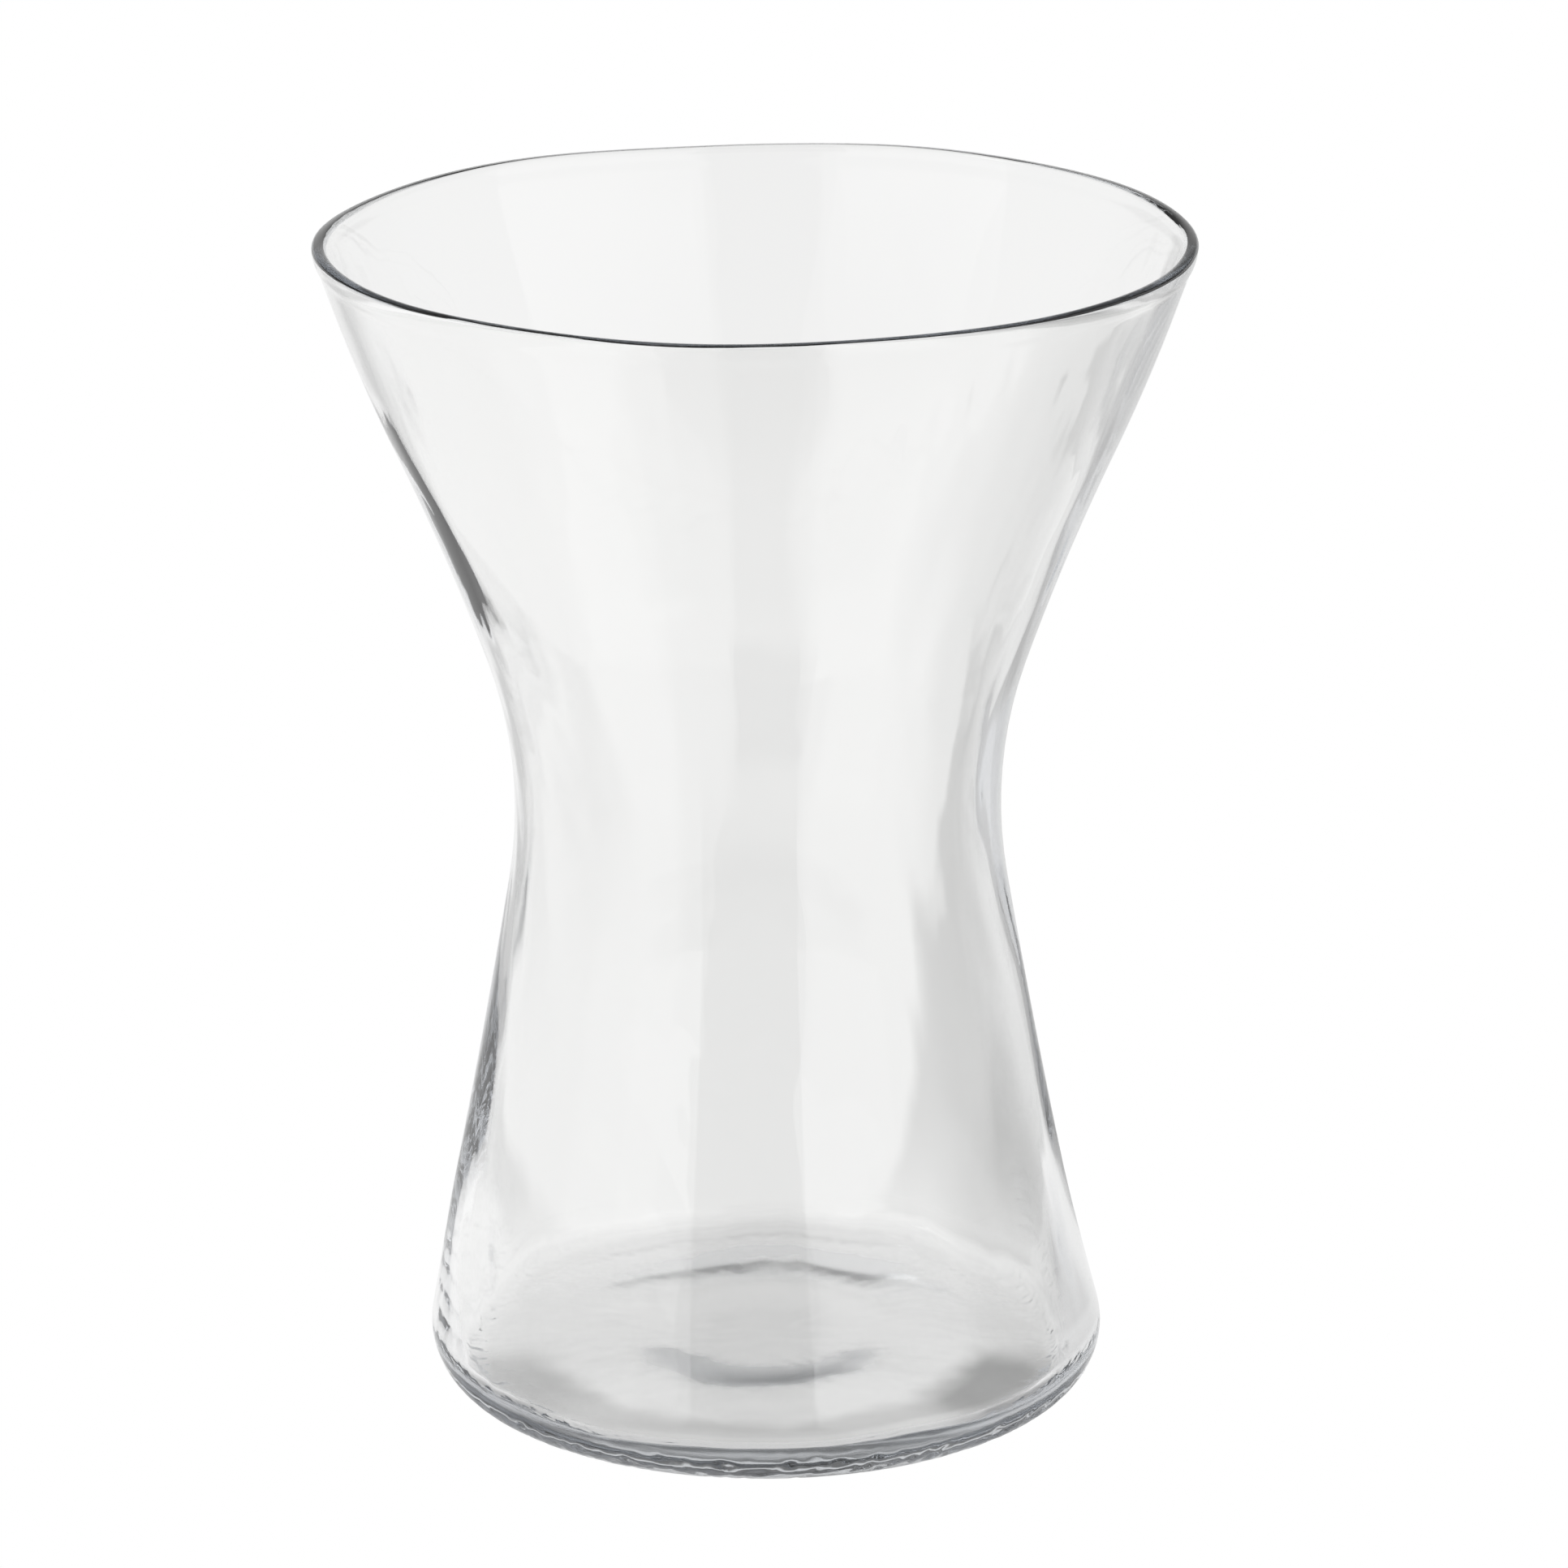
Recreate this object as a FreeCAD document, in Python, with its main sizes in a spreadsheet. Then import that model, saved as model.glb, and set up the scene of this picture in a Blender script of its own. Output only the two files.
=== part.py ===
import FreeCAD, Part
import math
import os

import Sketcher
from FreeCAD import Vector

# A waisted vase of clear glass, made in one piece: a heavy foot, a body that draws in to a waist
# and a mouth that flares out to a rounded lip. Millimetres, +Z up. The origin is the middle of
# the ring that the vase rests on. Every outline is drawn as a half section in the XZ plane, with
# the radius along X and the height along Z, and turned about Z.

sizes = {
    # Outside, from the table up
    "overall_height": 200.0,         # table to the crown of the lip
    "foot_diameter": 115.0,          # widest part of the foot
    "heel_radius": 10.0,             # rounding between the foot and the table
    "body_arc_share": 16.0,          # radius of the slow hollow curve below the waist, as a
                                     # share of the height from the heel to the waist
    "waist_diameter": 82.0,
    "waist_height": 103.0,
    "waist_arc_share": 0.86,         # radius of the waist, as a share of the flare's height
    "flare_arc_share": 4.3,          # radius of the hollow curve above it
    "brim_arc_share": 3.2,           # radius near the lip, where the flare turns back a little
    "turn_share": 0.67,              # where it turns, as a share of the way from waist to bead
    # Lip
    "mouth_diameter": 146.0,         # over the bead
    "lip_round": 0.40,               # outer edge of the fire-polished crown
    "inner_round_share": 0.38,       # its inner edge, as a share of the width that is left for it
    "lip_width": 2.25,               # widest point of the lip to the bore, at the crown
    "bead_height": 3.8,              # depth of the bead below the crown
    "bead_step": 1.1,                # how far the wall lies inside the bead at its lower edge
    "bead_arc_radius": 6.0,          # face of the bead
    # Inside
    "waist_wall": 2.6,               # glass at the waist
    "curve_offset": 2.6,             # the bore's curves differ by this from the outer ones
    "foot_wall": 4.3,                # widest part of the foot to the widest part of the bore
    "floor_height": 7.2,             # table to the lowest part of the floor
    "floor_crown": 0.9,              # the floor is this much higher in the middle
    "corner_radius": 2.5,            # floor to wall
    # Underside
    "bearing_width": 5.5,            # the flat ring that touches the table
    "brow_height": 0.93,             # inside that ring the hollow rises slowly to its brow
    "brow_share": 0.68,              # radius of the brow, as a share of the ring's inner radius
    "crest_rise": 0.25,              # brow to the crest, the highest part of the hollow
    "crest_share": 0.789,            # radius of the crest, as a share of the brow's
    "disc_height": 0.20,             # table to the flat disc in the middle
    "disc_share": 0.622,             # radius of that disc, as a share of the crest's
    "hollow_round": 10.0,            # easing of the ring's inner edge, the crest and the disc's edge
    "overrun": 5.0,                  # how far a cut runs past the face that it opens
}

# The places and radii that follow from the sizes, for the outside and for the bore.
derived = {
    "flare_height": "overall_height - bead_height - waist_height",
    "outside_corner_x": "foot_diameter / 2 - heel_radius",
    "outside_corner_z": "heel_radius",
    "outside_corner_r": "heel_radius",
    "outside_body_r": "body_arc_share * (waist_height - heel_radius)",
    "outside_waist_x": "waist_diameter / 2",
    "outside_waist_r": "waist_arc_share * flare_height",
    "outside_flare_r": "flare_arc_share * flare_height",
    "outside_brim_r": "brim_arc_share * flare_height",
    "outside_end_x": "mouth_diameter / 2 - bead_step",
    "outside_end_z": "overall_height - bead_height",
    "bore_corner_x": "foot_diameter / 2 - foot_wall - corner_radius",
    "bore_corner_z": "floor_height + corner_radius",
    "bore_corner_r": "corner_radius",
    "bore_body_r": "outside_body_r + curve_offset",
    "bore_waist_x": "waist_diameter / 2 - waist_wall",
    "bore_waist_r": "outside_waist_r + curve_offset",
    "bore_flare_r": "outside_flare_r + curve_offset",
    "bore_brim_r": "outside_brim_r - curve_offset",
    "bore_end_x": "mouth_diameter / 2 - lip_width",
    "bore_end_z": "overall_height",
    "turn_height": "waist_height + flare_height * turn_share",
    "outside_waist_centre": "outside_waist_x + outside_waist_r",
    "bore_waist_centre": "bore_waist_x + bore_waist_r",
    "lip_x": "mouth_diameter / 2 - lip_round",
    "lip_z": "overall_height - lip_round",
    "lip_inner_r": "(lip_width - lip_round) * inner_round_share",
    "floor_middle": "floor_height + floor_crown",
    "mouth_clear": "overall_height + overrun",
    "bearing_x": "outside_corner_x - bearing_width",
    "brow_x": "bearing_x * brow_share",
    "crest_x": "brow_x * crest_share",
    "crest_height": "brow_height + crest_rise",
    "disc_x": "crest_x * disc_share",
}

# The ends and the centre of a sketched curve, and the sketch's own origin and upright axis.
start, end, centre = 1, 2, 3
origin, upright = -1, -2

doc = FreeCAD.newDocument("waisted_glass_vase")


def makeSheet():
    """Give every size a named cell of its own, and below them the values that follow."""
    cells = doc.addObject("Spreadsheet::Sheet", "sizes")
    contents = {name: str(value) for name, value in sizes.items()}
    contents.update({name: "=" + formula for name, formula in derived.items()})
    for row, (name, content) in enumerate(contents.items(), start=1):
        cells.set("A%d" % row, name)
        cells.set("B%d" % row, content)
        cells.setAlias("B%d" % row, name)
    doc.recompute()
    return cells


sheet = makeSheet()


def cell(name):
    return float(getattr(sheet, name))


def originFeature(body, role):
    return next(item for item in body.Origin.OriginFeatures if item.Role == role)


class HalfSection:
    """A sketch in the XZ plane of a body, with dimensions that are read from the sheet."""

    def __init__(self, body, name):
        self.sketch = body.newObject("Sketcher::SketchObject", name)
        self.sketch.AttachmentSupport = [(originFeature(body, "XZ_Plane"), "")]
        self.sketch.MapMode = "FlatFace"

    def line(self, first, last):
        return self.sketch.addGeometry(Part.LineSegment(Vector(*first, 0), Vector(*last, 0)), False)

    def arc(self, first, last, radius):
        """An arc that turns anticlockwise from first to last, drawn close to where it belongs."""
        first = Vector(*first, 0)
        last = Vector(*last, 0)
        chord = last - first
        reach = math.sqrt(radius**2 - (chord.Length / 2)**2)
        middle = (first + last) / 2 + Vector(-chord.y, chord.x, 0).normalize() * reach
        angles = [math.atan2(point.y - middle.y, point.x - middle.x) for point in (first, last)]
        circle = Part.Circle(middle, Vector(0, 0, 1), radius)
        return self.sketch.addGeometry(Part.ArcOfCircle(circle, *angles), False)

    def hold(self, *relation):
        return self.sketch.addConstraint(Sketcher.Constraint(*relation))

    def dimension(self, name, kind, *geometry):
        number = self.hold(kind, *geometry, cell(name))
        self.sketch.setExpression("Constraints[%d]" % number, "sizes." + name)

    def radius(self, item, name):
        self.dimension(name, "Radius", item)

    def across(self, item, point, name):
        self.dimension(name, "DistanceX", origin, start, item, point)

    def up(self, item, point, name):
        self.dimension(name, "DistanceY", origin, start, item, point)

    def place(self, item, point, across, up):
        self.across(item, point, across)
        self.up(item, point, up)

    def smooth(self, item, point, other, other_point):
        self.hold("Tangent", item, point, other, other_point)

    def join(self, item, point, other, other_point):
        self.hold("Coincident", item, point, other, other_point)

    def onAxis(self, item, point):
        self.hold("PointOnObject", item, point, upright)


def sideCurve(section, side):
    """Draw the side from the foot to the lip, as five arcs that run smoothly into each other.

    side is outside or bore. The first arc starts at its lowest point, and the last one, the
    brim, ends where the lip begins.
    """
    corner_x, corner_z, corner_r = [cell(side + name) for name in ("_corner_x", "_corner_z", "_corner_r")]
    waist_x, waist_z, waist_r = cell(side + "_waist_x"), cell("waist_height"), cell(side + "_waist_r")
    end_x, end_z = cell(side + "_end_x"), cell(side + "_end_z")
    turn_z = cell("turn_height")
    taper = math.atan2(corner_x + corner_r - waist_x, waist_z - corner_z)
    flare = math.atan2(end_x - waist_x, end_z - waist_z)

    lowest = (corner_x, corner_z - corner_r)
    foot = (corner_x + corner_r * math.cos(taper), corner_z + corner_r * math.sin(taper))
    below = (waist_x + waist_r * (1 - math.cos(taper)), waist_z - waist_r * math.sin(taper))
    above = (waist_x + waist_r * (1 - math.cos(flare)), waist_z + waist_r * math.sin(flare))
    turn = (above[0] + (end_x - above[0]) * (turn_z - above[1]) / (end_z - above[1]), turn_z)

    corner = section.arc(lowest, foot, corner_r)
    body = section.arc(below, foot, cell(side + "_body_r"))
    waist = section.arc(above, below, waist_r)
    rise = section.arc(turn, above, cell(side + "_flare_r"))
    brim = section.arc(turn, (end_x, end_z), cell(side + "_brim_r"))

    section.smooth(corner, end, body, end)
    section.smooth(body, start, waist, end)
    section.smooth(waist, start, rise, end)
    section.smooth(rise, start, brim, start)
    section.radius(corner, side + "_corner_r")
    section.radius(body, side + "_body_r")
    section.radius(waist, side + "_waist_r")
    section.radius(rise, side + "_flare_r")
    section.radius(brim, side + "_brim_r")
    section.place(corner, centre, side + "_corner_x", side + "_corner_z")
    section.place(waist, centre, side + "_waist_centre", "waist_height")
    section.place(brim, end, side + "_end_x", side + "_end_z")
    section.up(brim, start, "turn_height")
    return corner, brim


def outlineOfMould(body):
    """The outside of the vase, filled in solid up to the crown of the lip."""
    section = HalfSection(body, "outline_of_mould")
    heel, brim = sideCurve(section, "outside")
    lip_x, lip_z, lip_r = cell("lip_x"), cell("lip_z"), cell("lip_round")
    bead_root = (cell("outside_end_x"), cell("outside_end_z"))
    bead_top = (lip_x + lip_r, lip_z)
    crown = (lip_x, cell("overall_height"))
    sole = (cell("outside_corner_x"), 0)

    bead = section.arc(bead_root, bead_top, cell("bead_arc_radius"))
    lip = section.arc(bead_top, crown, lip_r)
    top = section.line(crown, (0, cell("overall_height")))
    axis = section.line((0, cell("overall_height")), (0, 0))
    table = section.line((0, 0), sole)

    section.join(brim, end, bead, start)
    section.smooth(bead, end, lip, start)
    section.smooth(lip, end, top, start)
    section.join(top, end, axis, start)
    section.join(axis, end, table, start)
    section.smooth(table, end, heel, start)
    section.radius(bead, "bead_arc_radius")
    section.radius(lip, "lip_round")
    section.place(lip, centre, "lip_x", "lip_z")
    section.hold("Horizontal", top)
    section.hold("Coincident", axis, end, origin, start)
    section.onAxis(top, end)
    return section.sketch


def outlineOfBore(body):
    """The space inside, from the floor to a little above the lip."""
    section = HalfSection(body, "outline_of_bore")
    corner, brim = sideCurve(section, "bore")
    floor_x, floor_z, floor_middle = cell("bore_corner_x"), cell("floor_height"), cell("floor_middle")
    mouth_x, mouth_z, clear_z = cell("bore_end_x"), cell("bore_end_z"), cell("mouth_clear")
    crown = floor_middle - floor_z
    floor_r = (floor_x**2 + crown**2) / (2 * crown)

    floor = section.arc((floor_x, floor_z), (0, floor_middle), floor_r)
    riser = section.line((mouth_x, mouth_z), (mouth_x, clear_z))
    top = section.line((mouth_x, clear_z), (0, clear_z))
    axis = section.line((0, clear_z), (0, floor_middle))

    section.smooth(floor, start, corner, start)
    section.join(brim, end, riser, start)
    section.join(riser, end, top, start)
    section.join(top, end, axis, start)
    section.join(axis, end, floor, end)
    section.onAxis(floor, centre)
    section.onAxis(floor, end)
    section.onAxis(axis, start)
    section.up(floor, end, "floor_middle")
    section.hold("Vertical", riser)
    section.hold("Horizontal", top)
    section.up(riser, end, "mouth_clear")
    return section.sketch


def outlineOfHollow(body):
    """The shallow hollow underneath: a slow rise, a crest all round, and a lower disc in the middle."""
    section = HalfSection(body, "outline_of_hollow")
    bearing, brow = (cell("bearing_x"), 0), (cell("brow_x"), cell("brow_height"))
    crest, disc = (cell("crest_x"), cell("crest_height")), (cell("disc_x"), cell("disc_height"))
    under_z = -cell("overrun")

    under = section.line((0, under_z), (bearing[0], under_z))
    side = section.line((bearing[0], under_z), bearing)
    rise = section.line(bearing, brow)
    top = section.line(brow, crest)
    dip = section.line(crest, disc)
    middle = section.line(disc, (0, disc[1]))
    axis = section.line((0, disc[1]), (0, under_z))

    loop = [under, side, rise, top, dip, middle, axis]
    for item, following in zip(loop, loop[1:] + loop[:1]):
        section.join(item, end, following, start)
    section.onAxis(under, start)
    section.onAxis(middle, end)
    section.hold("Horizontal", under)
    section.hold("Vertical", side)
    section.hold("Horizontal", middle)
    section.dimension("overrun", "DistanceY", under, start, origin, start)
    section.hold("PointOnObject", rise, start, -1)
    section.across(rise, start, "bearing_x")
    section.place(top, start, "brow_x", "brow_height")
    section.place(dip, start, "crest_x", "crest_height")
    section.place(middle, start, "disc_x", "disc_height")
    return section.sketch


def revolve(body, kind, name, sketch):
    """Turn a half section all the way round the upright axis."""
    feature = body.newObject("PartDesign::" + kind, name)
    feature.Profile = sketch
    feature.ReferenceAxis = (sketch, ["V_Axis"])
    feature.Angle = 360
    doc.recompute()
    return feature


def ringEdge(shape, radius, height):
    """The name of the round edge that lies nearest to a radius and a height."""
    def miss(number):
        box = shape.Edges[number].BoundBox
        gaps = (box.XMax - radius, box.XMin + radius, box.ZMin - height, box.ZMax - height)
        return sum(abs(gap) for gap in gaps)
    return "Edge%d" % (min(range(len(shape.Edges)), key=miss) + 1)


def roundOff(body, name, places, radius_name):
    """Round the ring-shaped edges of the body's last feature, each given by radius and height."""
    base = body.Tip
    feature = body.newObject("PartDesign::Fillet", name)
    feature.Base = (base, [ringEdge(base.Shape, *place) for place in places])
    feature.setExpression("Radius", "sizes." + radius_name)
    doc.recompute()
    return feature


def makeVase():
    body = doc.addObject("PartDesign::Body", "glass_vase")
    body.Label = "glass_vase"
    body.Placement = FreeCAD.Placement()
    revolve(body, "Revolution", "outside", outlineOfMould(body))
    solid = body.Shape.Volume
    revolve(body, "Groove", "bore", outlineOfBore(body))
    bored = body.Shape.Volume
    roundOff(body, "lip", [(cell("bore_end_x"), cell("overall_height"))], "lip_inner_r")
    lipped = body.Shape.Volume
    revolve(body, "Groove", "hollow_underneath", outlineOfHollow(body))
    hollowed = body.Shape.Volume
    places = [("crest_x", "crest_height"), ("disc_x", "disc_height")]
    edges = [(cell("bearing_x"), 0)] + [(cell(across), cell(up)) for across, up in places]
    roundOff(body, "hollow_edges", edges, "hollow_round")
    if not solid > bored > lipped > hollowed > 0:
        raise RuntimeError("a cut took nothing away")
    return body


def checkAndWrite(pieces):
    """Stop if anything failed to build, and write each piece to a file named after it."""
    doc.recompute()
    failed = [item.Name for item in doc.Objects if {"Invalid", "Error"} & set(item.State)]
    if failed:
        raise RuntimeError("failed: " + ", ".join(failed))
    os.makedirs("parts", exist_ok=True)
    for piece in pieces:
        shape = piece.Shape
        if shape.isNull() or not shape.isValid():
            raise RuntimeError(piece.Label + " has no sound shape")
        shape.exportStep(os.path.join("parts", piece.Label + ".step"))
        box = shape.optimalBoundingBox()
        print("%s: %d solid, volume %.0f, radius %.2f, height %.2f to %.2f" % (
            piece.Label, len(shape.Solids), shape.Volume, box.XMax, box.ZMin, box.ZMax))


checkAndWrite([makeVase()])
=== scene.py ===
# A waisted vase of clear glass on a plain white table.
import math

import bpy
from mathutils import Matrix, Vector


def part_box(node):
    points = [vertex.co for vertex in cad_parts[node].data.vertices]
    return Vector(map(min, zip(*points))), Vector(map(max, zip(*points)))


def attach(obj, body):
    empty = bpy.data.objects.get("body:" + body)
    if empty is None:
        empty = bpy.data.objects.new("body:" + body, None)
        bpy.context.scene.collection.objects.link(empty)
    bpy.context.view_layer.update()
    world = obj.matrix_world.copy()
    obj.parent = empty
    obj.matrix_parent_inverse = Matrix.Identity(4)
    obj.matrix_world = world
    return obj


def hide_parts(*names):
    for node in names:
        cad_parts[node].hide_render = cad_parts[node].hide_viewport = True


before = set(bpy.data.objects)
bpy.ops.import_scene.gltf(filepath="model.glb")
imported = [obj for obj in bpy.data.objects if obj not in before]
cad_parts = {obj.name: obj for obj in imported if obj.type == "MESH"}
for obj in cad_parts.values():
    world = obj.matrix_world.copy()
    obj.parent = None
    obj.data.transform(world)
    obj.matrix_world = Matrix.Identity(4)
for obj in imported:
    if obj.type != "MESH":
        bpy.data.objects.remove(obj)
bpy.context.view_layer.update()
scene = bpy.context.scene

mm = 0.001
vaseLow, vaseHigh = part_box("glass_vase")
vaseHeight = vaseHigh.z - vaseLow.z
mouthRadius = (vaseHigh.x - vaseLow.x) / 2
print("frame loaded, vase %.1f mm tall" % (vaseHeight / mm))

# The outline of the glass, in metres. Height and mouth come from the CAD piece.
outline = {
    "footRadius": 57.5 * mm,
    "heel": 10.0 * mm,
    "bodyArcShare": 16.0,        # slow hollow curve below the waist, times the height it spans
    "waistRadius": 41.0 * mm,
    "waistHeight": 103.0 * mm,
    "waistArcShare": 0.86,       # these three are times the height from the waist to the bead
    "flareArcShare": 4.3,
    "brimArcShare": 3.2,
    "turnShare": 0.67,           # where the flare turns back, on the way up to the bead
    "lipRound": 0.40 * mm,       # fire polish leaves the lip tighter outside than inside
    "lipInner": 0.70 * mm,
    "lipWidth": 2.25 * mm,
    "beadHeight": 3.8 * mm,
    "beadStep": 1.1 * mm,
    "beadArc": 6.0 * mm,
    "waistWall": 2.6 * mm,
    "curveOffset": 2.6 * mm,     # the bore's curves differ by this from the outer ones
    "footWall": 4.3 * mm,
    "floorHeight": 7.2 * mm,
    "floorCrown": 0.9 * mm,
    "corner": 2.5 * mm,
    "bearingWidth": 5.5 * mm,
    "browRadius": 28.5 * mm,     # the hollow underneath rises slowly to here,
    "browHeight": 0.93 * mm,
    "crestRadius": 22.5 * mm,    # is highest in a ring this wide
    "crestHeight": 1.18 * mm,
    "discRadius": 14.0 * mm,     # and comes down again to a disc in the middle
    "discHeight": 0.20 * mm,
    "discEase": 5.0 * mm,        # how far each corner underneath is eased, along both its sides
    "crestEase": 3.0 * mm,
    "ringEase": 4.0 * mm,
    "beadEase": 0.9 * mm,
    "stippleTop": 8.0 * mm,      # how far up the heel the hammered finish reaches
    "stippleGrowth": 4.0 * mm,   # how far out from the ring it takes to reach full strength
    "ringStipple": 0.2,          # its strength on the ring itself
    "underFade": 5.0 * mm,       # the underside's waves fade in over this, inwards from the ring
    "boreFade": 12.0 * mm,       # those of the bore fade out this far below the lip
    "middleFade": 20.0 * mm,     # and this close to the middle of the floor
    "fineStep": 0.8 * mm,        # spacing of the mesh rows round tight curves
    "lipStep": 0.35 * mm,
    "beadRows": 0.4 * mm,
    "wallStep": 4.2 * mm,        # and up the long ones
}

zoneNames = ("stipple", "under", "bore", "lip")


def bisect(tooFar, low, high):
    # Halves the stretch from low to high until it closes on the place where tooFar changes.
    for _ in range(60):
        middle = (low + high) / 2
        if tooFar(middle):
            high = middle
        else:
            low = middle
    return (low + high) / 2


def cosOf(sine):
    return math.sqrt(1 - sine * sine)


def arcTo(centre, radius, first, last, step):
    # Points along an arc without its first one, no further apart than step.
    count = max(2, math.ceil(abs(last - first) * radius / step))
    angles = [first + (last - first) * k / count for k in range(1, count + 1)]
    return [(centre[0] + radius * math.cos(a), centre[1] + radius * math.sin(a)) for a in angles]


def lineTo(first, last, step):
    count = max(1, math.ceil(math.dist(first, last) / step))
    return [tuple(p + (q - p) * k / count for p, q in zip(first, last)) for k in range(1, count + 1)]


def ramp(value, zero, one):
    # Rises smoothly from 0 to 1 between the two values, whichever of them is the larger.
    share = min(1.0, max(0.0, (value - zero) / (one - zero)))
    return share * share * (3 - 2 * share)


def softCorner(before, corner, after, reach, count=4):
    # A corner eased over a short reach on each side, as fire leaves it.
    def toward(place):
        length = math.dist(corner, place)
        return [c + (p - c) * min(reach / length, 0.5) for c, p in zip(corner, place)]
    start, stop = toward(before), toward(after)
    points = []
    for k in range(count + 1):
        t = k / count
        points.append(tuple((1 - t) ** 2 * s + 2 * t * (1 - t) * c + t * t * e
                            for s, c, e in zip(start, corner, stop)))
    return points


def sidePoints(o, cornerAt, cornerR, bodyR, waist, waistR, flareR, brimR, turnZ, rim):
    # The side from its lowest corner up to the rim: five arcs, each running on smoothly.
    # The two unknowns are the slopes where the waist's arc meets its neighbours.
    def above(low):
        turn = low + (turnZ - waist[1] - waistR * low) / flareR
        top = turn - (rim[1] - turnZ) / brimR
        out = waistR * (1 - cosOf(low)) + flareR * (cosOf(low) - cosOf(turn))
        return out + brimR * (cosOf(top) - cosOf(turn)), turn, top

    def below(high):
        foot = (high + (waist[1] - waistR * high - cornerAt[1]) / bodyR) / (1 + cornerR / bodyR)
        out = waistR * (1 - cosOf(high)) + bodyR * (cosOf(high) - cosOf(foot))
        return out - cornerR * cosOf(foot), foot

    up = bisect(lambda sine: above(sine)[0] > rim[0] - waist[0], 0, (turnZ - waist[1]) / waistR)
    down = bisect(lambda sine: below(sine)[0] > cornerAt[0] - waist[0], 0, 0.9)
    turn, top = above(up)[1:]
    foot = below(down)[1]
    waistC = (waist[0] + waistR, waist[1])
    bodyC = (waistC[0] + (bodyR - waistR) * cosOf(down), waistC[1] + (bodyR - waistR) * down)
    flareC = (waistC[0] + (flareR - waistR) * cosOf(up), waistC[1] - (flareR - waistR) * up)
    brimC = (flareC[0] - (flareR + brimR) * cosOf(turn), flareC[1] + (flareR + brimR) * turn)
    step = o["wallStep"]
    half = math.pi
    points = arcTo(cornerAt, cornerR, -half / 2, math.asin(foot), o["fineStep"] * 1.2)
    points += arcTo(bodyC, bodyR, half + math.asin(foot), half + math.asin(down), step)
    points += arcTo(waistC, waistR, half + math.asin(down), half - math.asin(up), step)
    points += arcTo(flareC, flareR, half - math.asin(up), half - math.asin(turn), step)
    points += arcTo(brimC, brimR, -math.asin(turn), -math.asin(top), step)
    return points


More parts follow.
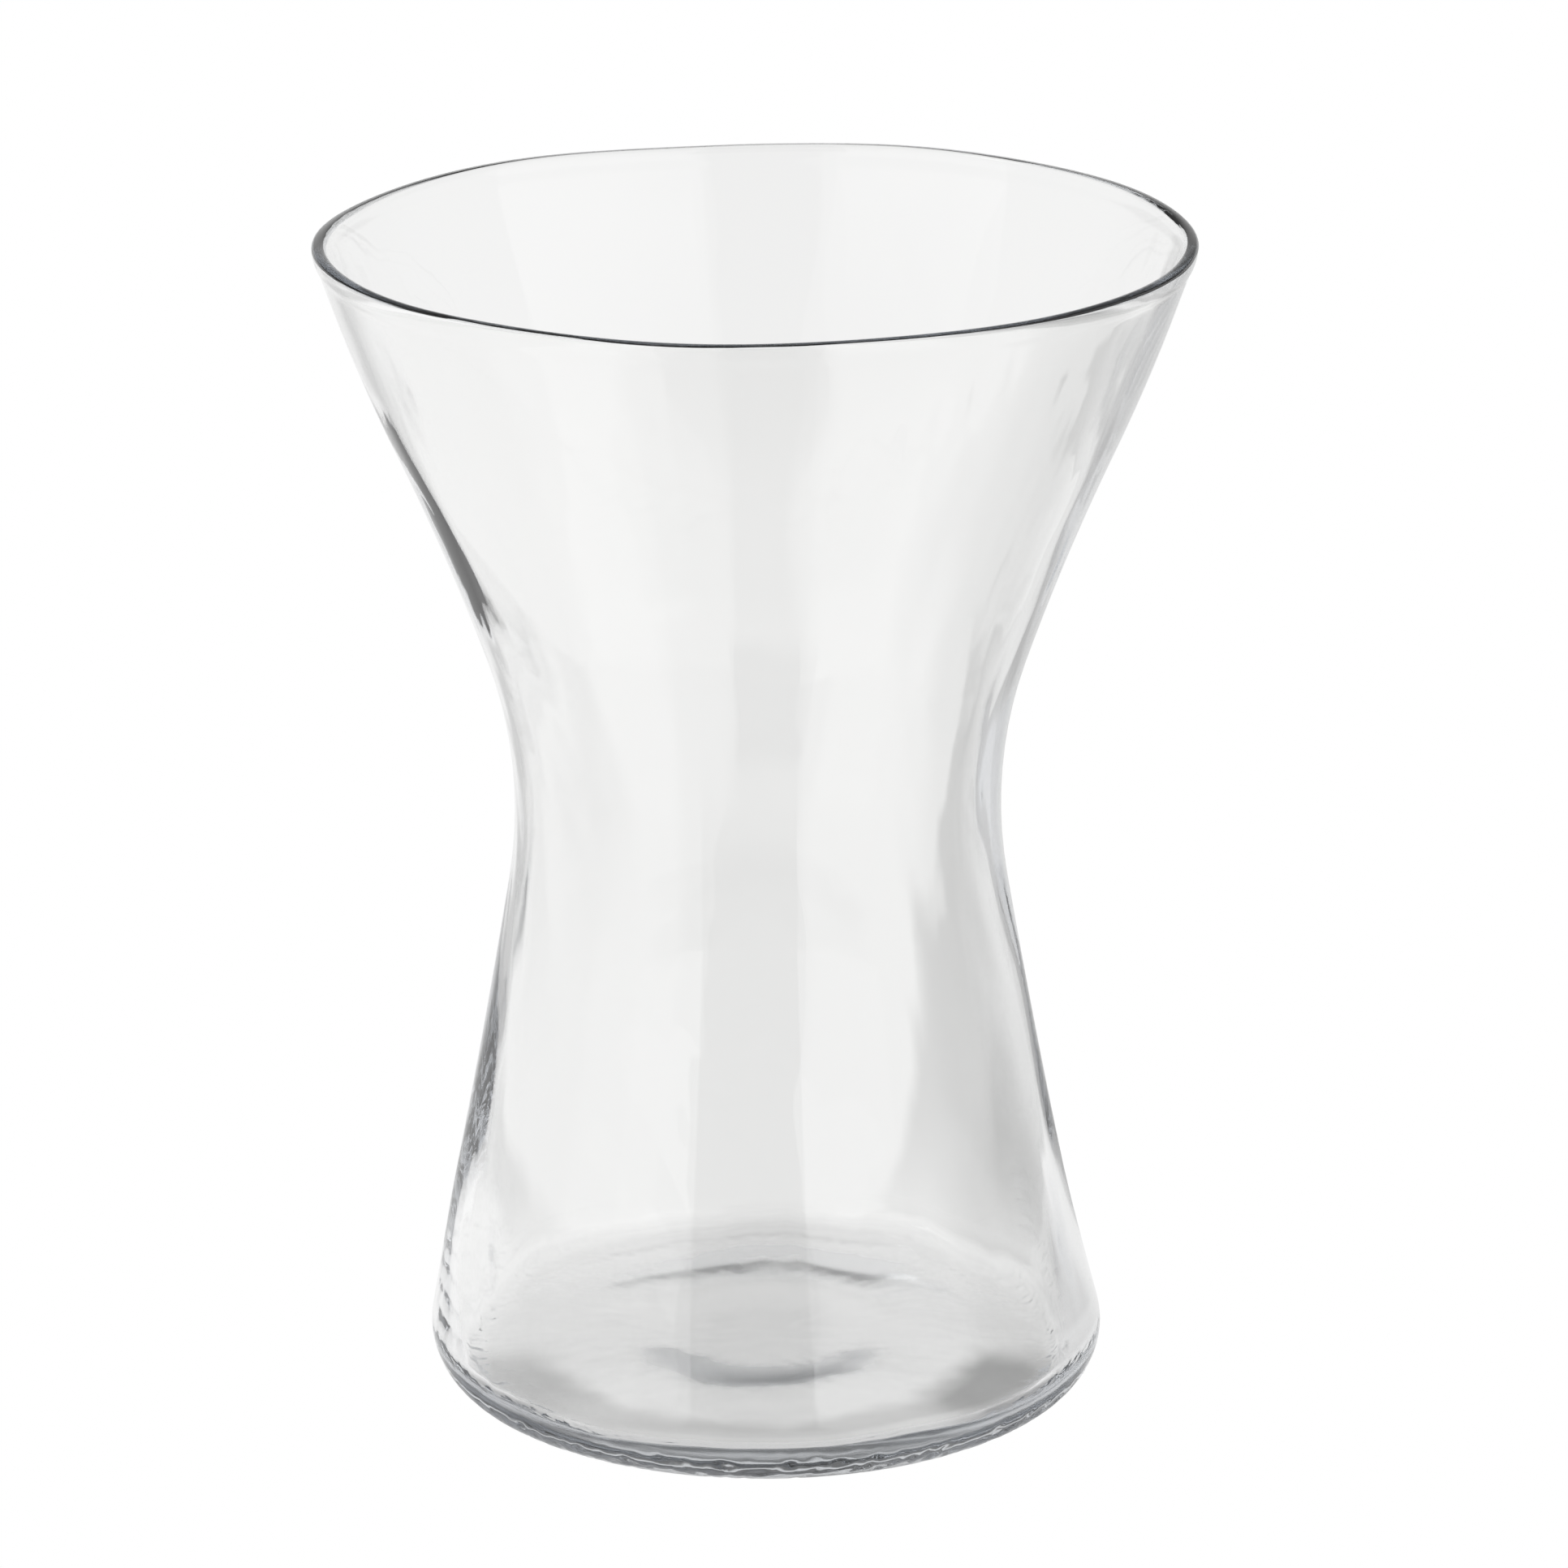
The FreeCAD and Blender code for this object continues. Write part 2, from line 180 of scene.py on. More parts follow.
def glassOutline(o):
    # The half section, from the middle of the underside, round the lip, to the middle of the floor.
    # Each point carries its place, the direction it faces and its share of each zone.
    flareHeight = vaseHeight - o["beadHeight"] - o["waistHeight"]
    turnZ = o["waistHeight"] + flareHeight * o["turnShare"]
    bodyR = o["bodyArcShare"] * (o["waistHeight"] - o["heel"])
    waistR, flareR, brimR = [flareHeight * o[k] for k in ("waistArcShare", "flareArcShare", "brimArcShare")]
    fine, offset = o["fineStep"], o["curveOffset"]

    # Underside: disc, slope up to the crest, long slope down, and the ring that stands on the table.
    soleX = o["footRadius"] - o["heel"]
    sole, bearing = (soleX, 0.0), (soleX - o["bearingWidth"], 0.0)
    middle, disc = (0.0, o["discHeight"]), (o["discRadius"], o["discHeight"])
    crest, brow = (o["crestRadius"], o["crestHeight"]), (o["browRadius"], o["browHeight"])
    discSide = softCorner(middle, disc, crest, o["discEase"], 7)
    crestSide = softCorner(disc, crest, brow, o["crestEase"], 6)
    browSide = softCorner(crest, brow, bearing, o["crestEase"], 5)
    ringSide = softCorner(brow, bearing, sole, o["ringEase"], 6)
    under = [middle] + lineTo(middle, discSide[0], 2 * fine)[:-1] + discSide + crestSide + browSide[1:]
    under += lineTo(browSide[-1], ringSide[0], 1.6 * fine)[:-1] + ringSide
    under += lineTo(ringSide[-1], sole, fine)

    rim = (mouthRadius - o["beadStep"], vaseHeight - o["beadHeight"])
    outside = sidePoints(o, (soleX, o["heel"]), o["heel"], bodyR, (o["waistRadius"], o["waistHeight"]),
                         waistR, flareR, brimR, turnZ, rim)

    # Bead and lip: the bead's face is an arc through the rim that runs on into the rounded crown.
    lipC = (mouthRadius - o["lipRound"], vaseHeight - o["lipRound"])
    beadR, reach = o["beadArc"], o["beadArc"] - o["lipRound"]
    span = math.dist(rim, lipC)
    along = (beadR ** 2 - reach ** 2 + span ** 2) / (2 * span)
    aside = math.sqrt(beadR ** 2 - along ** 2)
    ux, uz = (lipC[0] - rim[0]) / span, (lipC[1] - rim[1]) / span
    beadC = (rim[0] + ux * along - uz * aside, rim[1] + uz * along + ux * aside)
    startAngle = math.atan2(rim[1] - beadC[1], rim[0] - beadC[0])
    joinAngle = math.atan2(lipC[1] - beadC[1], lipC[0] - beadC[0])
    bead = arcTo(beadC, beadR, startAngle, joinAngle, o["beadRows"])
    lip = softCorner(outside[-2], rim, bead[2], o["beadEase"]) + bead[2:]
    lip += arcTo(lipC, o["lipRound"], joinAngle, math.pi / 2, o["lipStep"])

    cornerX = o["footRadius"] - o["footWall"] - o["corner"]
    floorZ = o["floorHeight"]
    mouth = (mouthRadius - o["lipWidth"], vaseHeight)
    bore = sidePoints(o, (cornerX, floorZ + o["corner"]), o["corner"], bodyR + offset,
                      (o["waistRadius"] - o["waistWall"], o["waistHeight"]), waistR + offset,
                      flareR + offset, brimR - offset, turnZ, mouth)
    lip += softCorner(lip[-1], mouth, bore[-2], o["lipInner"], 5)
    floorR = (cornerX ** 2 + o["floorCrown"] ** 2) / (2 * o["floorCrown"])
    floorC = (0.0, floorZ + o["floorCrown"] - floorR)
    floor = arcTo(floorC, floorR, math.acos(cornerX / floorR), math.pi / 2, 5 * fine)
    floor[-1] = (0.0, floor[-1][1])

    points = under + outside[:-1] + lip + bore[-2::-1] + floor
    rows = []
    for k, (x, z) in enumerate(points):
        before, after = points[max(k - 1, 0)], points[min(k + 1, len(points) - 1)]
        length = math.dist(before, after)
        facing = ((after[1] - before[1]) / length, 0.0, (before[0] - after[0]) / length)
        zones = dict.fromkeys(zoneNames, 0.0)
        depth = (vaseHeight - z) / o["boreFade"]
        if k < len(under):
            zones["stipple"] = o["ringStipple"] * ramp(x, bearing[0], sole[0])
            zones["under"] = ramp(x, sole[0], bearing[0] - o["underFade"])
        elif k < len(under) + len(outside) - 1:
            growth = ramp(x, sole[0], sole[0] + o["stippleGrowth"])
            strength = o["ringStipple"] + (1 - o["ringStipple"]) * growth
            zones["stipple"] = strength * ramp(z, o["stippleTop"], 0.4 * o["stippleTop"])
        elif k < len(under) + len(outside) - 1 + len(lip):
            zones["lip"] = 1.0
        else:
            zones["bore"] = min(1.0, depth, x / o["middleFade"])
            zones["lip"] = max(0.0, 1 - depth)
        rows.append(((x, 0.0, z), facing, zones))
    return rows


rows = glassOutline(outline)
print("outline of the glass has %d rows" % len(rows))


# Small helpers for node trees.
def put(tree, kind, inputs=None, **settings):
    node = tree.nodes.new(kind)
    for name, value in settings.items():
        setattr(node, name, value)
    for key, value in (inputs or {}).items():
        socket = node.inputs[key]
        if isinstance(value, bpy.types.NodeSocket):
            tree.links.new(value, socket)
        else:
            socket.default_value = value
    return node


def sums(tree, operation, *values):
    node = put(tree, "ShaderNodeMath", dict(enumerate(values)), operation=operation)
    return node.outputs[0]


def vectorSums(tree, operation, *values):
    node = put(tree, "ShaderNodeVectorMath", dict(enumerate(values)), operation=operation)
    return node.outputs["Value" if operation == "LENGTH" else "Vector"]


def setInput(modifier, name, value):
    for item in modifier.node_group.interface.items_tree:
        if item.item_type == "SOCKET" and item.in_out == "INPUT" and item.name == name:
            modifier[item.identifier] = value
            return
    raise RuntimeError("no input named " + name)


# What the hand of the maker leaves in the glass, all of it in the mesh.
blown = {
    "Segments": 480,
    "Ripple Height": 0.72 * mm,     # slow waves on the inner wall
    "Ripple Size": 34.0 * mm,
    "Streak Height": 0.045 * mm,    # finer lines that run aslant up the wall
    "Streak Size": 5.0 * mm,
    "Bore Drift": 0.45 * mm,        # the bore sits this far off centre at the waist
    "Cord Height": 0.32 * mm,       # two soft ridges that cross the wall aslant
    "Cord Width": 1.1 * mm,
    "Lip Wave": 2.6 * mm,
    "Under Wave": 0.16 * mm,        # the underside is uneven in slow and in short waves
    "Under Size": 26.0 * mm,
    "Under Grain": 0.035 * mm,
    "Foot Shift": 1.1 * mm,         # the foot sits this far to the right
    "Stipple Height": 0.34 * mm,    # hammered ring under the foot and round the heel
    "Stipple Size": 1.9 * mm,
    "Seed": 7.0,
}

cordPaths = [
    # angle in degrees and height where the ridge starts, then where it ends
    (53, 160 * mm, 75, 196 * mm),
    (277, 170 * mm, 311, 196 * mm),
]

# How those marks are laid out. The gains bring the noise, which stays near its middle, to full height.
marks = {
    "rippleStretch": 0.55,       # ripples and streaks are drawn out up the wall
    "streakStretch": 0.16,
    "streakTwist": 9.0,          # radians of turn per metre of height
    "boreGain": 4.0,
    "underGain": 3.0,
    "shortWaves": 6.0,           # the underside's short waves are this many times finer than the slow ones
    "dentGain": 3.0,
    "cordEnds": 6.0,             # how fast a cord comes up at its two ends
    "lipWaves": 1.3,             # waves round the lip, about one per radian
    "footTop": 38 * mm,          # above this the foot's shift has died away
    "weld": 0.002 * mm,          # closes the seam and the two poles
}


def turnedGlassTree():
    # Sweeps the outline round the axis on a grid, then moves the points as the maker's hand did.
    tree = bpy.data.node_groups.new("turned glass", "GeometryNodeTree")
    face = tree.interface
    face.new_socket("Outline", in_out="INPUT", socket_type="NodeSocketGeometry")
    for name in blown:
        kind = "NodeSocketInt" if name == "Segments" else "NodeSocketFloat"
        face.new_socket(name, in_out="INPUT", socket_type=kind)
    face.new_socket("Material", in_out="INPUT", socket_type="NodeSocketMaterial")
    face.new_socket("Glass", in_out="OUTPUT", socket_type="NodeSocketGeometry")
    given = put(tree, "NodeGroupInput").outputs

    size = put(tree, "GeometryNodeAttributeDomainSize", {0: given["Outline"]}, component="MESH")
    rowCount = size.outputs["Point Count"]
    columns = sums(tree, "ADD", given["Segments"], 1.0)
    grid = put(tree, "GeometryNodeMeshGrid", {"Size X": 1.0, "Size Y": 1.0, "Vertices X": columns,
                                             "Vertices Y": rowCount})
    place = put(tree, "ShaderNodeSeparateXYZ", {0: put(tree, "GeometryNodeInputPosition").outputs[0]})
    turn = sums(tree, "MULTIPLY", sums(tree, "ADD", place.outputs["X"], 0.5), 2 * math.pi)
    lastRow = sums(tree, "SUBTRACT", rowCount, 1.0)
    row = sums(tree, "ROUND", sums(tree, "MULTIPLY", sums(tree, "ADD", place.outputs["Y"], 0.5), lastRow))

    def fromOutline(value, kind):
        node = put(tree, "GeometryNodeSampleIndex", {"Geometry": given["Outline"], "Index": row},
                   data_type=kind, domain="POINT")
        tree.links.new(value, node.inputs["Value"])
        return node.outputs["Value"]

    def named(name, kind="FLOAT"):
        return put(tree, "GeometryNodeInputNamedAttribute", {"Name": name}, data_type=kind).outputs[0]

    onOutline = fromOutline(put(tree, "GeometryNodeInputPosition").outputs[0], "FLOAT_VECTOR")
    at = put(tree, "ShaderNodeSeparateXYZ", {0: onOutline})
    stipple, under, bore, lip = [fromOutline(named(name), "FLOAT") for name in zoneNames]
    cosine, sine = sums(tree, "COSINE", turn), sums(tree, "SINE", turn)
    outward = put(tree, "ShaderNodeCombineXYZ", {0: cosine, 1: sine}).outputs[0]

    def scaled(vector, by):
        result = vectorSums(tree, "SCALE", vector)
        if isinstance(by, bpy.types.NodeSocket):
            tree.links.new(by, result.node.inputs["Scale"])
        else:
            result.node.inputs["Scale"].default_value = by
        return result

    def swept(pair):
        # Turns a place or a direction of the outline to the column's angle.
        parts = put(tree, "ShaderNodeSeparateXYZ", {0: pair}).outputs
        upright = put(tree, "ShaderNodeCombineXYZ", {2: parts["Z"]}).outputs[0]
        return vectorSums(tree, "ADD", scaled(outward, parts["X"]), upright)

    plain = swept(onOutline)
    facing = swept(fromOutline(named("facing", "FLOAT_VECTOR"), "FLOAT_VECTOR"))

    def noise(place, seedShift, detail=0.0):
        seed = sums(tree, "ADD", given["Seed"], seedShift)
        node = put(tree, "ShaderNodeTexNoise", {"Vector": place, "W": seed, "Scale": 1.0,
                                               "Detail": detail}, noise_dimensions="4D")
        return sums(tree, "SUBTRACT", node.outputs[0], 0.5)

    def stretched(sizeSocket, wide, tall):
        # The place in units of the pattern's size, drawn out along the height.
        inUnits = scaled(plain, sums(tree, "DIVIDE", 1.0, sizeSocket))
        return vectorSums(tree, "MULTIPLY", inUnits, (wide, wide, tall))

    def times(first, *others):
        for other in others:
            first = sums(tree, "MULTIPLY", first, other)
        return first

    def cord(path):
        startAngle, startZ, stopAngle, stopZ = path
        share = sums(tree, "DIVIDE", sums(tree, "SUBTRACT", at.outputs["Z"], startZ), stopZ - startZ)
        bearing = sums(tree, "MULTIPLY_ADD", share, math.radians(stopAngle - startAngle),
                       math.radians(startAngle))
        aside = times(sums(tree, "SUBTRACT", turn, bearing), at.outputs["X"])
        ratio = sums(tree, "DIVIDE", aside, given["Cord Width"])
        ridge = sums(tree, "EXPONENT", times(ratio, ratio, -1.0))
        ends = times(share, sums(tree, "SUBTRACT", 1.0, share), marks["cordEnds"])
        return times(ridge, put(tree, "ShaderNodeClamp", {0: ends}).outputs[0], given["Cord Height"])

    waves = noise(stretched(given["Ripple Size"], 1.0, marks["rippleStretch"]), 0.0, detail=1.0)
    spin = put(tree, "ShaderNodeVectorRotate", {
        "Vector": stretched(given["Streak Size"], 1.0, marks["streakStretch"]),
        "Angle": times(at.outputs["Z"], marks["streakTwist"])}, rotation_type="Z_AXIS").outputs[0]
    streak = times(noise(spin, 3.0, detail=1.0), given["Streak Height"])
    inner = times(sums(tree, "ADD", times(waves, given["Ripple Height"]), streak), bore, marks["boreGain"])
    for path in cordPaths:
        inner = sums(tree, "ADD", inner, times(cord(path), bore))
    gain, finer = marks["underGain"], marks["shortWaves"]
    slow = times(noise(stretched(given["Under Size"], 1.0, 1.0), 12.0), given["Under Wave"], gain)
    short = noise(stretched(given["Under Size"], finer, finer), 15.0, detail=1.0)
    below = times(sums(tree, "ADD", slow, times(short, given["Under Grain"], gain)), under)
    dents = times(noise(stretched(given["Stipple Size"], 1.0, 1.0), 9.0), marks["dentGain"])
    dents = times(sums(tree, "MAXIMUM", dents, 0.0), given["Stipple Height"], stipple, -1.0)
    relief = sums(tree, "ADD", sums(tree, "ADD", inner, below), dents)

    waistShare = sums(tree, "DIVIDE", at.outputs["Z"], outline["waistHeight"])
    drift = times(sums(tree, "SINE", times(waistShare, math.pi / 2)), given["Bore Drift"], bore)
    foot = put(tree, "ShaderNodeMapRange", {"Value": at.outputs["Z"], "From Min": marks["footTop"],
                                            "From Max": 0.0}, interpolation_type="SMOOTHSTEP").outputs[0]
    wave = times(noise(scaled(outward, marks["lipWaves"]), 5.0), given["Lip Wave"], lip)
    shift = put(tree, "ShaderNodeCombineXYZ", {
        0: sums(tree, "SUBTRACT", times(foot, given["Foot Shift"]), drift), 2: wave}).outputs[0]
    final = vectorSums(tree, "ADD", vectorSums(tree, "ADD", plain, scaled(facing, relief)), shift)
    moved = put(tree, "GeometryNodeSetPosition", {"Geometry": grid.outputs["Mesh"], "Position": final})
    closed = put(tree, "GeometryNodeMergeByDistance", {"Geometry": moved.outputs[0],
                                                      "Distance": marks["weld"]})
    smooth = put(tree, "GeometryNodeSetShadeSmooth", {"Geometry": closed.outputs[0]})
    real = put(tree, "GeometryNodeRealizeInstances", {"Geometry": smooth.outputs[0]})
    dressed = put(tree, "GeometryNodeSetMaterial", {"Geometry": real.outputs[0],
                                                   "Material": given["Material"]})
    result = put(tree, "NodeGroupOutput")
    tree.links.new(dressed.outputs[0], result.inputs[0])
    return tree


# The finish of the glass.
clearGlass = {
    "ior": 1.52,
    "tint": (0.985, 0.985, 0.980),
    "absorb": (0.893, 0.900, 0.910),     # barely seen through a wall, blue-grey along the lip
    "density": 36.0,
    "underRough": 0.15,          # the underside kept the chill marks of the mould,
    "underTop": (6.0 * mm, 4.5 * mm),    # which fade in between these heights, going down,
    "underEdge": (45 * mm, 41 * mm),     # and between these radii, going in
    "wornRough": 0.28,           # the ring is scuffed where it stands
    "wornTop": (0.5 * mm, 0.05 * mm),
    "grainScale": 2200.0,
    "lineScale": 260.0,          # hair lines from the mould, drawn out up the wall
    "lineStretch": 0.12,
    "lineHeight": 0.004 * mm,
}


def makeGlass(o):
    glass = bpy.data.materials.new("clear glass")
    glass.use_nodes = True
    tree = glass.node_tree
    tree.nodes.clear()
    where = put(tree, "ShaderNodeTexCoord").outputs["Object"]
    heights = put(tree, "ShaderNodeSeparateXYZ", {0: where}).outputs["Z"]
    lines = put(tree, "ShaderNodeTexNoise", {
        "Vector": put(tree, "ShaderNodeMapping", {
            "Vector": where, "Scale": (1.0, 1.0, o["lineStretch"])}).outputs[0],
        "Scale": o["lineScale"], "Detail": 2.0})
    grains = put(tree, "ShaderNodeTexNoise", {"Vector": where, "Scale": o["grainScale"], "Detail": 1.0})
    radius = vectorSums(tree, "LENGTH", put(tree, "ShaderNodeMapping", {
        "Vector": where, "Scale": (1.0, 1.0, 0.0)}).outputs[0])

    def fade(value, span, top):
        # From 0 at the first end of the span to top at the other.
        return put(tree, "ShaderNodeMapRange", {"Value": value, "From Min": span[0], "From Max": span[1],
                                               "To Min": 0.0, "To Max": top}).outputs[0]

    worn = sums(tree, "MULTIPLY", fade(heights, o["wornTop"], o["wornRough"]), grains.outputs[0])
    cast = sums(tree, "MULTIPLY", fade(heights, o["underTop"], o["underRough"]),
                fade(radius, o["underEdge"], 1.0))
    rough = sums(tree, "MAXIMUM", worn, cast)
    bump = put(tree, "ShaderNodeBump", {"Height": lines.outputs[0], "Strength": 1.0,
                                       "Distance": o["lineHeight"]})
    shader = put(tree, "ShaderNodeBsdfPrincipled", {
        "Base Color": (*o["tint"], 1.0), "Metallic": 0.0, "IOR": o["ior"],
        "Transmission Weight": 1.0, "Roughness": rough, "Normal": bump.outputs[0]})
    inside = put(tree, "ShaderNodeVolumeAbsorption", {"Color": (*o["absorb"], 1.0),
                                                     "Density": o["density"]})
    put(tree, "ShaderNodeOutputMaterial", {"Surface": shader.outputs[0], "Volume": inside.outputs[0]})
    return glass


def makeVase(material):
    profile = bpy.data.meshes.new("outline of the glass")
    profile.from_pydata([place for place, _, _ in rows], [], [])
    for name in zoneNames:
        attribute = profile.attributes.new(name, "FLOAT", "POINT")
        attribute.data.foreach_set("value", [zones[name] for _, _, zones in rows])
    attribute = profile.attributes.new("facing", "FLOAT_VECTOR", "POINT")
    attribute.data.foreach_set("vector", [part for _, facing, _ in rows for part in facing])
    source = bpy.data.objects.new("outline of the glass", profile)
    scene.collection.objects.link(source)
    turning = source.modifiers.new("turned glass", "NODES")
    turning.node_group = turnedGlassTree()
    for name, value in blown.items():
        setInput(turning, name, value)
    setInput(turning, "Material", material)
    evaluated = source.evaluated_get(bpy.context.evaluated_depsgraph_get())
    mesh = bpy.data.meshes.new_from_object(evaluated)
    source.modifiers.remove(turning)
    bpy.data.objects.remove(source)
    mesh.materials.clear()
    mesh.materials.append(material)
    mesh.polygons.foreach_set("material_index", [0] * len(mesh.polygons))
    vase = bpy.data.objects.new("vase", mesh)
    scene.collection.objects.link(vase)
    return vase


glass = makeGlass(clearGlass)
vase = makeVase(glass)
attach(vase, "root")
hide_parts("glass_vase")
print("vase turned, %d faces" % len(vase.data.polygons))


# Studio: a white table under a plain surround, with soft panels and flags. The camera sees the table and
# the surround as plain white;
# the glass mirrors and bends their other brightness, which on the table is painted light and shade.
# Angles are in degrees: azimuth 0 is the camera's side and 90 the right, elevation is from the
# horizon. Each panel is azimuth, elevation, half width, half height, soft sides, soft ends and
# added brightness.
studio = {
    "tableRadius": 3.0,
    "tableSides": 64,
    "tableDrop": 0.05 * mm,
    "tableLevel": 0.915,
    "surroundLevel": 0.895,
    "panels": [
        (-75, 5, 45, 22, 10, 10, 0.10),      # long soft box on the left
        (75, 25, 42, 20, 10, 10, 0.08),      # taller, weaker one on the right
        (-50, 6, 25, 20, 0.6, 10, 0.32),     # both are brightest beside the camera
        (47, 10, 30, 20, 0.6, 10, 0.32),
        (-3, 40, 17, 34, 1.5, 10, -0.32),    # gap between them, where the camera stands,
        (-4, -2, 21, 6, 0.6, 4, -0.80),      # darker near the table
        (-100, 54, 12, 5, 4, 3, 2.2),        # small lamp on the left, for the glint along the lip
        (183, 34, 48, 22, 6, 6, -0.72),      # unlit room above the backdrop
        (0, 90, 180, 30, 6, 6, -0.75),       # unlit ceiling
    ],
    "paintedTableLightAndShade": [
        (-80, 0, 50, 30, 14, 14, 0.10),      # painted light of the soft boxes on the table
        (-56, 0, 20, 30, 4, 14, 0.14),
        (50, 0, 28, 30, 6, 14, 0.10),
        (100, 0, 20, 30, 8, 8, -0.50),       # shade on the right, seen in the right wall
        (151, 0, 14, 30, 1.5, 1.5, -0.22),
        (143, 0, 9, 30, 7, 7, -0.20),
        (-142, 0, 8, 30, 4, 4, -0.26),       # and on the left, behind the vase
        (-8, 0, 28, 30, 1.5, 3, -0.22),      # painted shade of the gap where the camera stands
    ],
    "tablePanelsReach": (0.05, 0.14),        # the table is evenly lit closer in than this
    "paintedFarShade": [(-4, 0, 21, 30, 0.6, 1.0, -0.70)],     # painted shade: the gap is darker on the far part
    "farReach": (0.11, 0.30),
    "paintedFootShadow": [                          # painted shadow of the foot: dim ring of table under its front
        (0, 0, 84, 30, 8, 5, -0.25),
        (-64, 0, 14, 30, 10, 8, -0.16),
        (60, 0, 16, 30, 9, 8, -0.32),
    ],
    "footInner": (33 * mm, 41 * mm),
    "footOuter": (66 * mm, 54 * mm),
    "footUneven": 14 * mm,
    "footUnevenScale": 60.0,
}

panelInputs = ("Azimuth", "Elevation", "Half Width", "Half Height", "Soft Sides", "Soft Ends", "Brightness")


def softPanelGroup():
    # How far a direction lies inside a panel with soft edges, times its brightness.
    tree = bpy.data.node_groups.new("soft panel", "ShaderNodeTree")
    face = tree.interface
    face.new_socket("Direction", in_out="INPUT", socket_type="NodeSocketVector")
    for name in panelInputs:
        face.new_socket(name, in_out="INPUT", socket_type="NodeSocketFloat")
    face.new_socket("Light", in_out="OUTPUT", socket_type="NodeSocketFloat")
    given = put(tree, "NodeGroupInput").outputs
    turned = put(tree, "ShaderNodeVectorRotate",
                 {"Vector": given["Direction"],
                  "Angle": sums(tree, "RADIANS", sums(tree, "MULTIPLY", given["Azimuth"], -1.0))},
                 rotation_type="Z_AXIS").outputs[0]
    part = put(tree, "ShaderNodeSeparateXYZ", {0: turned}).outputs
    away = sums(tree, "DEGREES", sums(tree, "ARCTAN2", part["X"], sums(tree, "MULTIPLY", part["Y"], -1.0)))
    rise = sums(tree, "DEGREES", sums(tree, "ARCSINE", part["Z"]))

    def within(angle, half, soft):
        node = put(tree, "ShaderNodeMapRange", {
            "Value": sums(tree, "ABSOLUTE", angle), "From Min": sums(tree, "ADD", half, soft),
            "From Max": sums(tree, "SUBTRACT", half, soft),
            "To Min": 0.0, "To Max": 1.0}, interpolation_type="SMOOTHSTEP")
        return node.outputs[0]

    across = within(away, given["Half Width"], given["Soft Sides"])
    height = sums(tree, "SUBTRACT", rise, given["Elevation"])
    upward = within(height, given["Half Height"], given["Soft Ends"])
    light = sums(tree, "MULTIPLY", sums(tree, "MULTIPLY", across, upward), given["Brightness"])
    tree.links.new(light, put(tree, "NodeGroupOutput").inputs[0])
    return tree


def addPanels(tree, group, direction, panels):
    total = 0.0
    for panel in panels:
        node = put(tree, "ShaderNodeGroup", node_tree=group)
        tree.links.new(direction, node.inputs["Direction"])
        for name, value in zip(panelInputs, panel):
            node.inputs[name].default_value = value
        total = sums(tree, "ADD", node.outputs[0], total)
    return total


def whiteToCamera(tree, level):
    seen = put(tree, "ShaderNodeLightPath").outputs["Is Camera Ray"]
    level = sums(tree, "MAXIMUM", level, 0.0)
    return put(tree, "ShaderNodeMapRange", {"Value": seen, "To Min": level, "To Max": 1.0}).outputs[0]


def reachOf(tree, place, span):
    # From 0 where the distance from the middle is the first end of the span to 1 at the other.
    return put(tree, "ShaderNodeMapRange", {
        "Value": vectorSums(tree, "LENGTH", place), "From Min": span[0],
        "From Max": span[1]}, interpolation_type="SMOOTHSTEP").outputs[0]


def paintedFootShade(tree, group, where, o):
    # Painted shadow of the foot on the table: a dim ring under its front, with an uneven edge.
    blur = put(tree, "ShaderNodeTexNoise", {"Vector": where, "Scale": o["footUnevenScale"],
                                           "Detail": 2.0}).outputs["Color"]
    blur = vectorSums(tree, "MULTIPLY", vectorSums(tree, "SUBTRACT", blur, (0.5, 0.5, 0.5)),
                      (o["footUneven"], o["footUneven"], 0.0))
    uneven = vectorSums(tree, "ADD", where, blur)
    ring = sums(tree, "MULTIPLY", reachOf(tree, uneven, o["footInner"]),
                reachOf(tree, uneven, o["footOuter"]))
    front = addPanels(tree, group, vectorSums(tree, "NORMALIZE", uneven), o["paintedFootShadow"])
    return sums(tree, "MULTIPLY", ring, front)


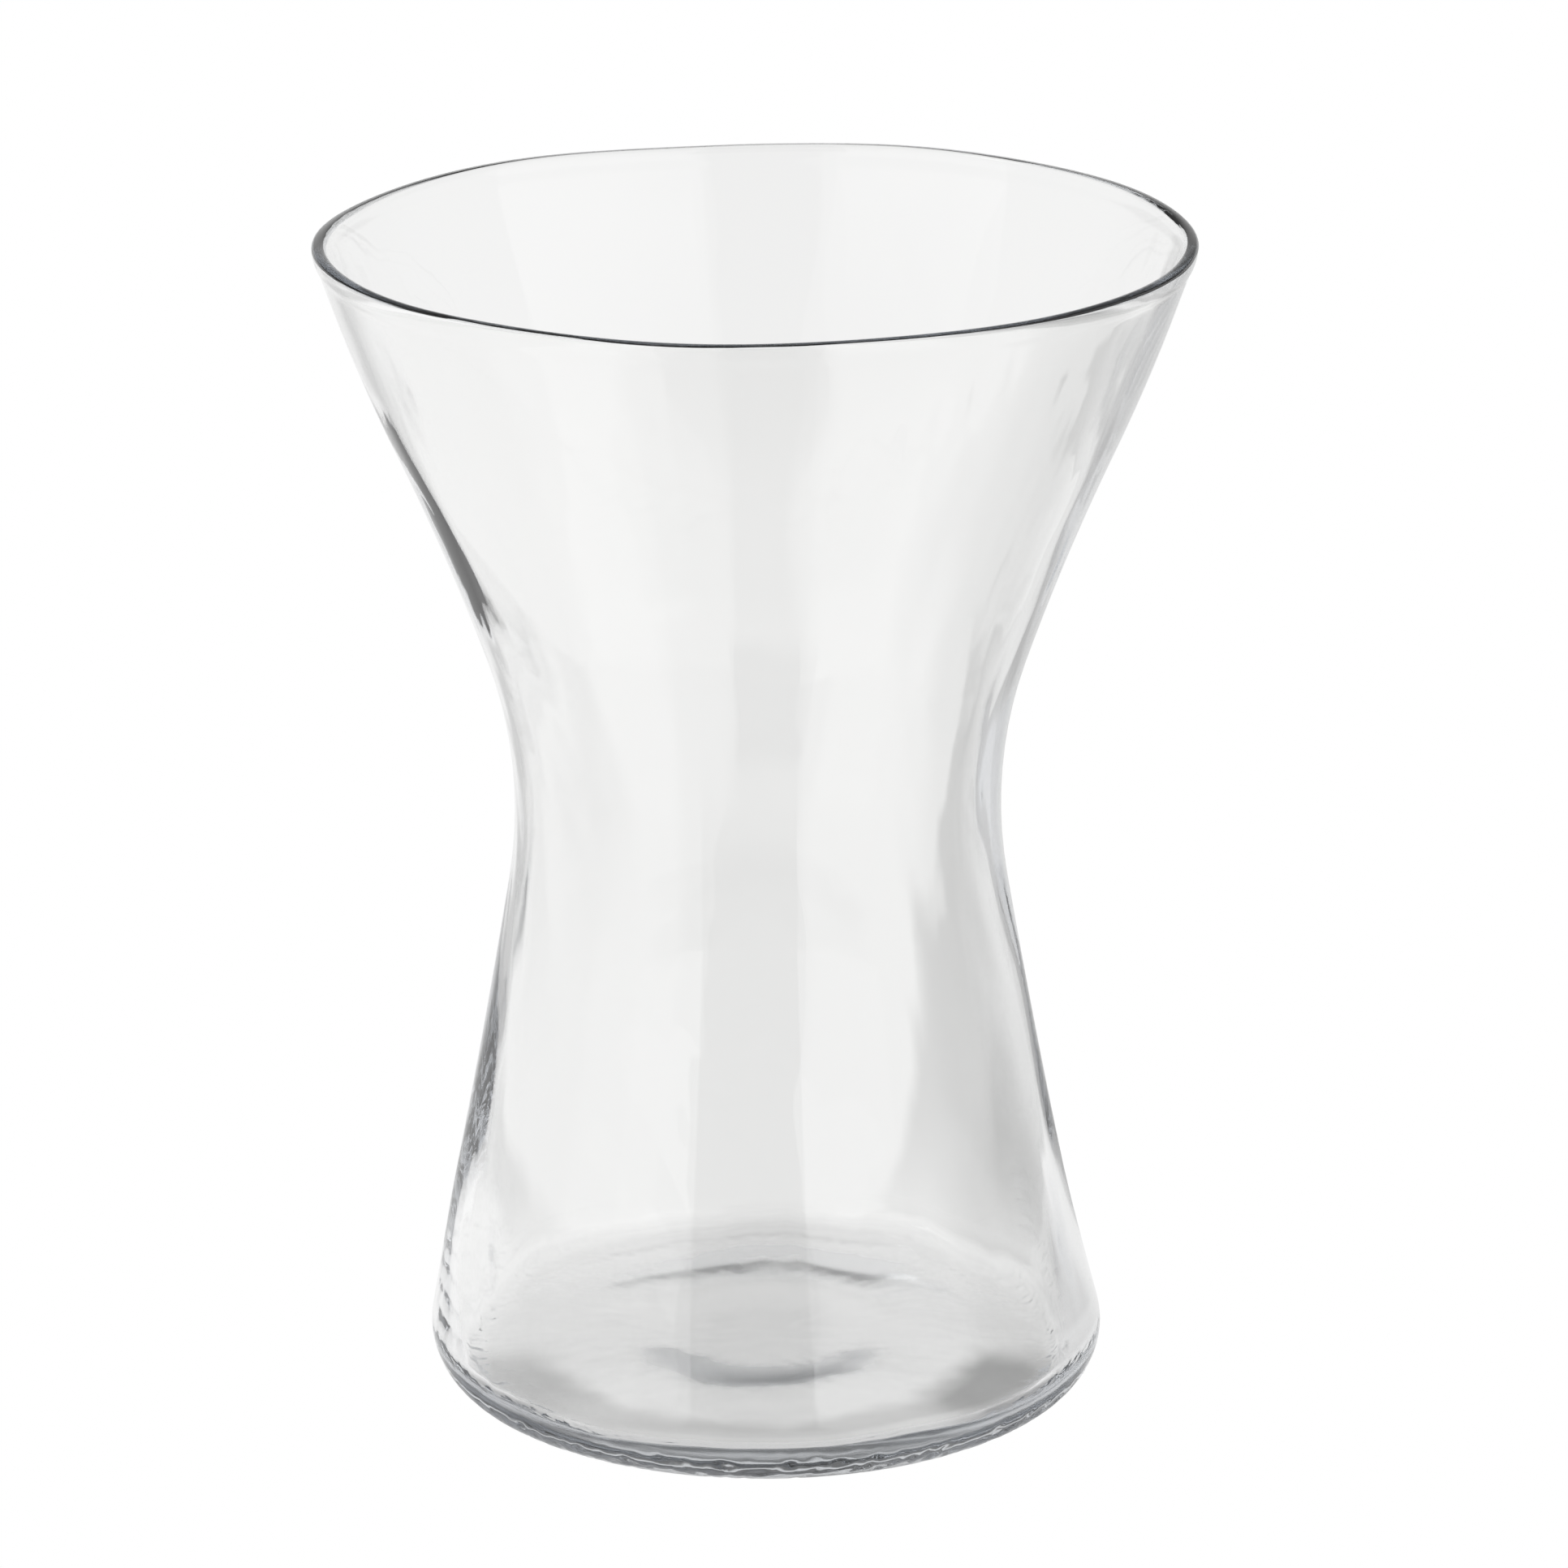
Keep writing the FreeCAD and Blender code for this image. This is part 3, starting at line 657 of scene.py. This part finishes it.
def makeTable(o, group):
    mesh = bpy.data.meshes.new("white table")
    sides = o["tableSides"]
    edge = [2 * math.pi * k / sides for k in range(sides)]
    mesh.from_pydata([(o["tableRadius"] * math.cos(a), o["tableRadius"] * math.sin(a), -o["tableDrop"])
                      for a in edge], [], [tuple(range(sides))])
    surface = bpy.data.materials.new("white table")
    surface.use_nodes = True
    tree = surface.node_tree
    tree.nodes.clear()
    where = put(tree, "ShaderNodeTexCoord").outputs["Object"]
    flat = vectorSums(tree, "NORMALIZE", where)
    # Painted light and shade on the table: pools from the soft boxes and shadows round the vase, by
    # direction from the middle.
    near = sums(tree, "MULTIPLY", reachOf(tree, where, o["tablePanelsReach"]),
                addPanels(tree, group, flat, o["paintedTableLightAndShade"]))
    far = sums(tree, "MULTIPLY", reachOf(tree, where, o["farReach"]),
               addPanels(tree, group, flat, o["paintedFarShade"]))
    level = o["tableLevel"]
    for share in (near, paintedFootShade(tree, group, where, o), far):
        level = sums(tree, "ADD", share, level)
    glow = put(tree, "ShaderNodeEmission", {"Color": (1, 1, 1, 1), "Strength": whiteToCamera(tree, level)})
    put(tree, "ShaderNodeOutputMaterial", {"Surface": glow.outputs[0]})
    surface.cycles.emission_sampling = "NONE"
    mesh.materials.append(surface)
    whiteTable = bpy.data.objects.new("white_table", mesh)
    scene.collection.objects.link(whiteTable)


def makeSurround(o, group):
    world = bpy.data.worlds.new("studio")
    scene.world = world
    world.use_nodes = True
    tree = world.node_tree
    tree.nodes.clear()
    direction = put(tree, "ShaderNodeTexCoord").outputs["Generated"]
    level = sums(tree, "ADD", addPanels(tree, group, direction, o["panels"]), o["surroundLevel"])
    glow = put(tree, "ShaderNodeBackground", {"Color": (1, 1, 1, 1),
                                             "Strength": whiteToCamera(tree, level)})
    put(tree, "ShaderNodeOutputWorld", {"Surface": glow.outputs[0]})


softPanel = softPanelGroup()
makeTable(studio, softPanel)
makeSurround(studio, softPanel)
print("studio set")

# Camera at the photograph's angle.
cameraSetup = {
    "lens": 170.88,
    "sensor": 36.0,
    "place": (0.0, -1.1965, 0.4822),
    "down": 17.47,
    "right": 0.21,
    "roll": -0.242,
    "near": 0.05,
    "far": 20.0,
}


def makeCamera(o):
    lens = bpy.data.cameras.new("camera")
    lens.sensor_width = o["sensor"]
    lens.lens = o["lens"]
    lens.clip_start, lens.clip_end = o["near"], o["far"]
    camera = bpy.data.objects.new("camera", lens)
    scene.collection.objects.link(camera)
    heading = Matrix.Rotation(-math.radians(o["right"]), 4, "Z")
    pitch = Matrix.Rotation(math.radians(90 - o["down"]), 4, "X")
    roll = Matrix.Rotation(math.radians(o["roll"]), 4, "Z")
    camera.matrix_world = Matrix.Translation(Vector(o["place"])) @ heading @ pitch @ roll
    scene.camera = camera


makeCamera(cameraSetup)
scene.view_settings.view_transform = "Standard"

# Light that is led along inside the lip and the foot turns many times before it leaves the glass.
bounces = 36
for kind in ("max_bounces", "transmission_bounces", "glossy_bounces"):
    setattr(scene.cycles, kind, bounces)
